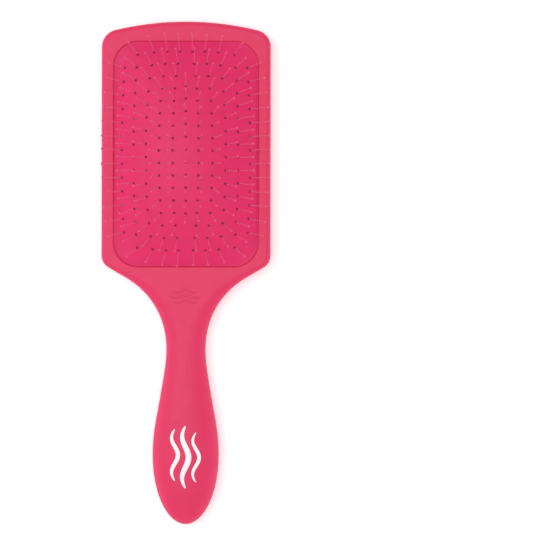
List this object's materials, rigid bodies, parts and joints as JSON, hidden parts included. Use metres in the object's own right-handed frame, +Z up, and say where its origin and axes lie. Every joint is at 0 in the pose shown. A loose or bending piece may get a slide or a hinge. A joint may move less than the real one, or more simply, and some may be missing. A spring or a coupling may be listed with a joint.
{
  "type": "paddle hair brush",
  "caption": "Square paddle hair brush with a vented back, a domed rubber cushion pad, flexible ball-tipped pins and a rounded grip.",
  "frame": {"origin": "on the surface that the brush lies on, under the middle of its length and width; the brush lies on its back", "axes": "+X across the head, +Y from the grip to the crown of the head, +Z up out of the pad, the way the pins point"},
  "size_m": [0.0898, 0.2666, 0.0386],
  "materials": {
    "body": "soft-touch matt pink over hard plastic",
    "pad": "smooth satin pink rubber",
    "pins": "pale translucent nylon filaments with pink ball tips"
  },
  "bodies": {
    "paddle": {"paddle_body": "body"},
    "cushion": {"cushion_pad": "pad"},
    "pins_01_upper": {"pins_01_upper": "pins"},
    "pins_01_middle": {"pins_01_middle": "pins"},
    "pins_01_lower": {"pins_01_lower": "pins"},
    "pins_02_upper": {"pins_02_upper": "pins"},
    "pins_02_middle": {"pins_02_middle": "pins"},
    "pins_02_lower": {"pins_02_lower": "pins"},
    "pins_03_upper": {"pins_03_upper": "pins"},
    "pins_03_middle": {"pins_03_middle": "pins"},
    "pins_03_lower": {"pins_03_lower": "pins"},
    "pins_04_upper": {"pins_04_upper": "pins"},
    "pins_04_middle": {"pins_04_middle": "pins"},
    "pins_04_lower": {"pins_04_lower": "pins"},
    "pins_05_upper": {"pins_05_upper": "pins"},
    "pins_05_middle": {"pins_05_middle": "pins"},
    "pins_05_lower": {"pins_05_lower": "pins"},
    "pins_06_upper": {"pins_06_upper": "pins"},
    "pins_06_middle": {"pins_06_middle": "pins"},
    "pins_06_lower": {"pins_06_lower": "pins"},
    "pins_07_upper": {"pins_07_upper": "pins"},
    "pins_07_middle": {"pins_07_middle": "pins"},
    "pins_07_lower": {"pins_07_lower": "pins"},
    "pins_08_upper": {"pins_08_upper": "pins"},
    "pins_08_middle": {"pins_08_middle": "pins"},
    "pins_08_lower": {"pins_08_lower": "pins"},
    "pins_09_upper": {"pins_09_upper": "pins"},
    "pins_09_middle": {"pins_09_middle": "pins"},
    "pins_09_lower": {"pins_09_lower": "pins"},
    "pins_10_upper": {"pins_10_upper": "pins"},
    "pins_10_middle": {"pins_10_middle": "pins"},
    "pins_10_lower": {"pins_10_lower": "pins"},
    "pins_11_upper": {"pins_11_upper": "pins"},
    "pins_11_middle": {"pins_11_middle": "pins"},
    "pins_11_lower": {"pins_11_lower": "pins"}
  },
  "joints": [
    {"name": "cushion_press", "type": "slide", "parent": "paddle", "child": "cushion", "axis": [0, 0, -1], "range_m": [0, 0.003], "stiffness_N_per_m": 2500, "deforming": ["cushion_pad"]},
    {"name": "pins_01_upper_flex", "type": "hinge", "parent": "cushion", "child": "pins_01_upper", "pos_m": [-0.0332, 0.09404, 0.01344], "axis": [0.0459, 0.9984, -0.032], "range_deg": [-15, 15], "stiffness_Nm_per_rad": 0.0055},
    {"name": "pins_01_middle_flex", "type": "hinge", "parent": "cushion", "child": "pins_01_middle", "pos_m": [-0.03395, 0.06131, 0.01396], "axis": [-0.0016, 1, 0.0012], "range_deg": [-15, 15], "stiffness_Nm_per_rad": 0.0044},
    {"name": "pins_01_lower_flex", "type": "hinge", "parent": "cushion", "child": "pins_01_lower", "pos_m": [-0.03331, 0.03222, 0.01354], "axis": [-0.045, 0.9985, 0.0296], "range_deg": [-15, 15], "stiffness_Nm_per_rad": 0.0044},
    {"name": "pins_02_upper_flex", "type": "hinge", "parent": "cushion", "child": "pins_02_upper", "pos_m": [-0.02659, 0.0985, 0.01483], "axis": [0.0553, 0.9931, -0.1037], "range_deg": [-15, 15], "stiffness_Nm_per_rad": 0.0066},
    {"name": "pins_02_middle_flex", "type": "hinge", "parent": "cushion", "child": "pins_02_middle", "pos_m": [-0.02762, 0.06104, 0.01678], "axis": [-0.0021, 1, 0.0043], "range_deg": [-15, 15], "stiffness_Nm_per_rad": 0.0055},
    {"name": "pins_02_lower_flex", "type": "hinge", "parent": "cushion", "child": "pins_02_lower", "pos_m": [-0.02667, 0.02697, 0.01501], "axis": [-0.0559, 0.9931, 0.1031], "range_deg": [-15, 15], "stiffness_Nm_per_rad": 0.0055},
    {"name": "pins_03_upper_flex", "type": "hinge", "parent": "cushion", "child": "pins_03_upper", "pos_m": [-0.01895, 0.09935, 0.01599], "axis": [0.1082, 0.9827, -0.1505], "range_deg": [-15, 15], "stiffness_Nm_per_rad": 0.0066},
    {"name": "pins_03_middle_flex", "type": "hinge", "parent": "cushion", "child": "pins_03_middle", "pos_m": [-0.02103, 0.06112, 0.0189], "axis": [-0.0038, 1, 0.0058], "range_deg": [-15, 15], "stiffness_Nm_per_rad": 0.0055},
    {"name": "pins_03_lower_flex", "type": "hinge", "parent": "cushion", "child": "pins_03_lower", "pos_m": [-0.01914, 0.02631, 0.0163], "axis": [-0.1085, 0.983, 0.1483], "range_deg": [-15, 15], "stiffness_Nm_per_rad": 0.0055},
    {"name": "pins_04_upper_flex", "type": "hinge", "parent": "cushion", "child": "pins_04_upper", "pos_m": [-0.01181, 0.10068, 0.01667], "axis": [0.1152, 0.9748, -0.1909], "range_deg": [-15, 15], "stiffness_Nm_per_rad": 0.0066},
    {"name": "pins_04_middle_flex", "type": "hinge", "parent": "cushion", "child": "pins_04_middle", "pos_m": [-0.01395, 0.06126, 0.02024], "axis": [-0.0039, 1, 0.0071], "range_deg": [-15, 15], "stiffness_Nm_per_rad": 0.0066},
    {"name": "pins_04_lower_flex", "type": "hinge", "parent": "cushion", "child": "pins_04_lower", "pos_m": [-0.01199, 0.02507, 0.01699], "axis": [-0.1153, 0.9752, 0.1891], "range_deg": [-15, 15], "stiffness_Nm_per_rad": 0.0055},
    {"name": "pins_05_upper_flex", "type": "hinge", "parent": "cushion", "child": "pins_05_upper", "pos_m": [-0.00495, 0.10068, 0.01712], "axis": [0.0936, 0.9731, -0.2107], "range_deg": [-15, 15], "stiffness_Nm_per_rad": 0.0066},
    {"name": "pins_05_middle_flex", "type": "hinge", "parent": "cushion", "child": "pins_05_middle", "pos_m": [-0.00669, 0.06126, 0.02109], "axis": [-0.0031, 1, 0.0082], "range_deg": [-15, 15], "stiffness_Nm_per_rad": 0.0066},
    {"name": "pins_05_lower_flex", "type": "hinge", "parent": "cushion", "child": "pins_05_lower", "pos_m": [-0.0051, 0.02507, 0.01745], "axis": [-0.0937, 0.9733, 0.2096], "range_deg": [-15, 15], "stiffness_Nm_per_rad": 0.0055},
    {"name": "pins_06_upper_flex", "type": "hinge", "parent": "cushion", "child": "pins_06_upper", "pos_m": [0, 0.08883, 0.02002], "axis": [0, 0.9908, -0.135], "range_deg": [-15, 15], "stiffness_Nm_per_rad": 0.0044},
    {"name": "pins_06_middle_flex", "type": "hinge", "parent": "cushion", "child": "pins_06_middle", "pos_m": [0, 0.06177, 0.02175], "axis": [0, 1, 0.006], "range_deg": [-15, 15], "stiffness_Nm_per_rad": 0.0044},
    {"name": "pins_06_lower_flex", "type": "hinge", "parent": "cushion", "child": "pins_06_lower", "pos_m": [0, 0.03808, 0.02032], "axis": [0, 0.9917, 0.1287], "range_deg": [-15, 15], "stiffness_Nm_per_rad": 0.0033},
    {"name": "pins_07_upper_flex", "type": "hinge", "parent": "cushion", "child": "pins_07_upper", "pos_m": [0.00495, 0.10068, 0.01712], "axis": [-0.0936, 0.9731, -0.2107], "range_deg": [-15, 15], "stiffness_Nm_per_rad": 0.0066},
    {"name": "pins_07_middle_flex", "type": "hinge", "parent": "cushion", "child": "pins_07_middle", "pos_m": [0.00669, 0.06126, 0.02109], "axis": [0.0031, 1, 0.0082], "range_deg": [-15, 15], "stiffness_Nm_per_rad": 0.0066},
    {"name": "pins_07_lower_flex", "type": "hinge", "parent": "cushion", "child": "pins_07_lower", "pos_m": [0.0051, 0.02507, 0.01745], "axis": [0.0937, 0.9733, 0.2096], "range_deg": [-15, 15], "stiffness_Nm_per_rad": 0.0055},
    {"name": "pins_08_upper_flex", "type": "hinge", "parent": "cushion", "child": "pins_08_upper", "pos_m": [0.01181, 0.10068, 0.01667], "axis": [-0.1152, 0.9748, -0.1909], "range_deg": [-15, 15], "stiffness_Nm_per_rad": 0.0066},
    {"name": "pins_08_middle_flex", "type": "hinge", "parent": "cushion", "child": "pins_08_middle", "pos_m": [0.01395, 0.06126, 0.02024], "axis": [0.0039, 1, 0.0071], "range_deg": [-15, 15], "stiffness_Nm_per_rad": 0.0066},
    {"name": "pins_08_lower_flex", "type": "hinge", "parent": "cushion", "child": "pins_08_lower", "pos_m": [0.01199, 0.02507, 0.01699], "axis": [0.1153, 0.9752, 0.1891], "range_deg": [-15, 15], "stiffness_Nm_per_rad": 0.0055},
    {"name": "pins_09_upper_flex", "type": "hinge", "parent": "cushion", "child": "pins_09_upper", "pos_m": [0.01895, 0.09935, 0.01599], "axis": [-0.1082, 0.9827, -0.1505], "range_deg": [-15, 15], "stiffness_Nm_per_rad": 0.0066},
    {"name": "pins_09_middle_flex", "type": "hinge", "parent": "cushion", "child": "pins_09_middle", "pos_m": [0.02103, 0.06112, 0.0189], "axis": [0.0038, 1, 0.0058], "range_deg": [-15, 15], "stiffness_Nm_per_rad": 0.0055},
    {"name": "pins_09_lower_flex", "type": "hinge", "parent": "cushion", "child": "pins_09_lower", "pos_m": [0.01914, 0.02631, 0.0163], "axis": [0.1085, 0.983, 0.1483], "range_deg": [-15, 15], "stiffness_Nm_per_rad": 0.0055},
    {"name": "pins_10_upper_flex", "type": "hinge", "parent": "cushion", "child": "pins_10_upper", "pos_m": [0.02659, 0.0985, 0.01483], "axis": [-0.0553, 0.9931, -0.1037], "range_deg": [-15, 15], "stiffness_Nm_per_rad": 0.0066},
    {"name": "pins_10_middle_flex", "type": "hinge", "parent": "cushion", "child": "pins_10_middle", "pos_m": [0.02762, 0.06104, 0.01678], "axis": [0.0021, 1, 0.0043], "range_deg": [-15, 15], "stiffness_Nm_per_rad": 0.0055},
    {"name": "pins_10_lower_flex", "type": "hinge", "parent": "cushion", "child": "pins_10_lower", "pos_m": [0.02667, 0.02697, 0.01501], "axis": [0.0559, 0.9931, 0.1031], "range_deg": [-15, 15], "stiffness_Nm_per_rad": 0.0055},
    {"name": "pins_11_upper_flex", "type": "hinge", "parent": "cushion", "child": "pins_11_upper", "pos_m": [0.0332, 0.09404, 0.01344], "axis": [-0.0459, 0.9984, -0.032], "range_deg": [-15, 15], "stiffness_Nm_per_rad": 0.0055},
    {"name": "pins_11_middle_flex", "type": "hinge", "parent": "cushion", "child": "pins_11_middle", "pos_m": [0.03395, 0.06131, 0.01396], "axis": [0.0016, 1, 0.0012], "range_deg": [-15, 15], "stiffness_Nm_per_rad": 0.0044},
    {"name": "pins_11_lower_flex", "type": "hinge", "parent": "cushion", "child": "pins_11_lower", "pos_m": [0.03331, 0.03222, 0.01354], "axis": [0.045, 0.9985, 0.0296], "range_deg": [-15, 15], "stiffness_Nm_per_rad": 0.0044}
  ]
}
